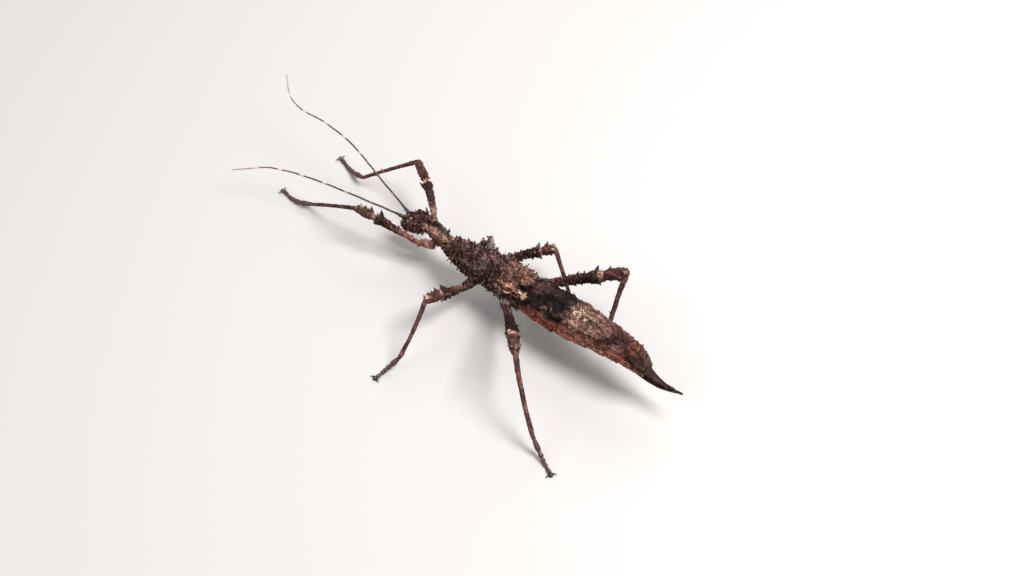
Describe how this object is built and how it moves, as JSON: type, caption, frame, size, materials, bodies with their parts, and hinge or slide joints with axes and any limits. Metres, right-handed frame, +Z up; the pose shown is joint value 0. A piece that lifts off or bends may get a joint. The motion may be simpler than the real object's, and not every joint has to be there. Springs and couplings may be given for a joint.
{
  "type": "stick insect",
  "caption": "Thorny bark-mimicking stick insect, adult female, standing: slender spiny thorax, long swollen abdomen with a beak-like egg layer, toothed legs, long thread-like antennae.",
  "frame": {"origin": "on the ground, under the middle of the whole insect's box, antennae and feet included", "axes": "+Z up, -Y towards the head, +X towards the insect's left side"},
  "size_m": [0.052, 0.1324, 0.0197],
  "materials": {
    "head_crust": "rough, dark brown-black, finely warted",
    "body_crust": "rough bark-like crust, dark grey-brown mottled with tan and pinkish brown",
    "abdomen_crust": "wrinkled, grey-brown with near-black base, cream flecks and reddish-brown flanks",
    "egg_layer_plate": "smooth horny dark brown",
    "leg_crust": "dark brown with a pale pinkish-cream band on each femur",
    "coxa_horn": "shiny blue-black",
    "foot_crust": "dull dark brown",
    "antenna_horn": "brown, ringed with paler joints",
    "eye": "glossy, streaked tan and dark brown"
  },
  "bodies": {
    "root": {"head": "head_crust", "left_eye": "eye", "right_eye": "eye", "mouthparts": "head_crust", "left_antenna": "antenna_horn", "right_antenna": "antenna_horn", "prothorax": "body_crust", "mesothorax": "body_crust", "metathorax": "body_crust", "abdomen_2": "abdomen_crust", "abdomen_3": "abdomen_crust", "abdomen_4": "abdomen_crust", "abdomen_5": "abdomen_crust", "abdomen_6": "abdomen_crust", "abdomen_7": "abdomen_crust", "abdomen_8": "abdomen_crust", "abdomen_9": "abdomen_crust", "egg_layer_upper": "egg_layer_plate", "egg_layer_lower": "egg_layer_plate", "left_fore_coxa": "coxa_horn", "left_fore_femur": "leg_crust", "left_fore_tibia": "leg_crust", "left_fore_tarsus": "foot_crust", "right_fore_coxa": "coxa_horn", "right_fore_femur": "leg_crust", "right_fore_tibia": "leg_crust", "right_fore_tarsus": "foot_crust", "left_mid_coxa": "coxa_horn", "left_mid_femur": "leg_crust", "left_mid_tibia": "leg_crust", "left_mid_tarsus": "foot_crust", "right_mid_coxa": "coxa_horn", "right_mid_femur": "leg_crust", "right_mid_tibia": "leg_crust", "right_mid_tarsus": "foot_crust", "left_hind_coxa": "coxa_horn", "left_hind_femur": "leg_crust", "left_hind_tibia": "leg_crust", "left_hind_tarsus": "foot_crust", "right_hind_coxa": "coxa_horn", "right_hind_femur": "leg_crust", "right_hind_tibia": "leg_crust", "right_hind_tarsus": "foot_crust"}
  },
  "joints": []
}
